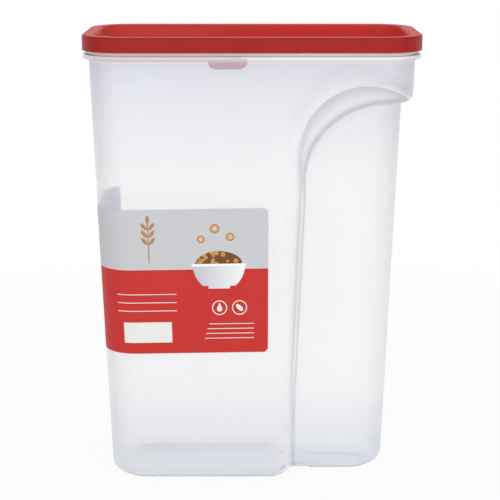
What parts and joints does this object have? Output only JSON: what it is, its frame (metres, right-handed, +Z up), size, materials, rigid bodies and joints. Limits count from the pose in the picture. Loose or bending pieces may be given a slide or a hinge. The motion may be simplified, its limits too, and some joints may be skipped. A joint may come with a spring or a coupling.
{
  "type": "cereal container",
  "caption": "Tall translucent food container with a moulded hand grip, a push-on red lid, a hinged press-open pouring flap and a wrap label.",
  "frame": {"origin": "centre of the footprint on the shelf, under the middle of the lid", "axes": "+X towards the hand grip end, -X the pouring end, +Y across the depth, +Z up"},
  "size_m": [0.2316, 0.1138, 0.32],
  "materials": {
    "translucent_wall": "clear to milky polypropylene, smooth gloss outside",
    "label_film": "printed film, grey above and red below",
    "red_lid": "satin red polypropylene",
    "frosted_flap": "frosted white polypropylene"
  },
  "bodies": {
    "container": {"container": "translucent_wall", "wrap_label": "label_film"},
    "lid": {"lid": "red_lid"},
    "flap": {"spout_flap": "frosted_flap"}
  },
  "joints": [
    {"name": "lid_lift", "type": "slide", "parent": "container", "child": "lid", "axis": [0, 0, 1], "range_m": [0, 0.06]},
    {"name": "spout_hinge", "type": "hinge", "parent": "lid", "child": "flap", "pos_m": [-0.0165, 0, 0.3092], "axis": [0, 1, 0], "range_deg": [0, 105]}
  ]
}
